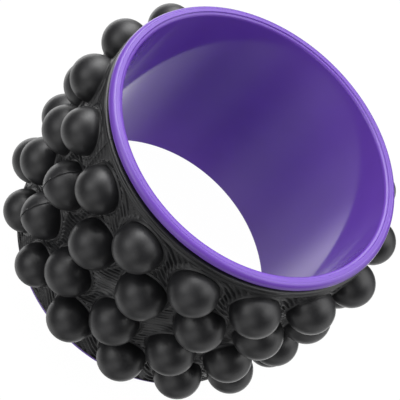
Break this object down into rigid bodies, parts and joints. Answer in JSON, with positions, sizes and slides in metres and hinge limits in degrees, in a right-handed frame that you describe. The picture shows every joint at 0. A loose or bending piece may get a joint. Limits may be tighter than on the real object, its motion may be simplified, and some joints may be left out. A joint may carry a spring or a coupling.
{
  "type": "back stretcher wheel",
  "caption": "Hollow hard plastic wheel wrapped in a black foam pad with rings of round massage balls, rolled under the back to stretch and massage the spine.",
  "frame": {"origin": "middle of the end face that the wheel lies on", "axes": "+Z along the wheel's axis, up to the other end face; -Y towards the seam of the pad"},
  "size_m": [0.195, 0.195, 0.13],
  "materials": {
    "purple_plastic": "gloss",
    "tape_film": "matte",
    "black_foam": "satin"
  },
  "bodies": {
    "root": {"inner_ring": "purple_plastic", "bonding_tape": "tape_film", "massage_pad": "black_foam"}
  },
  "joints": []
}
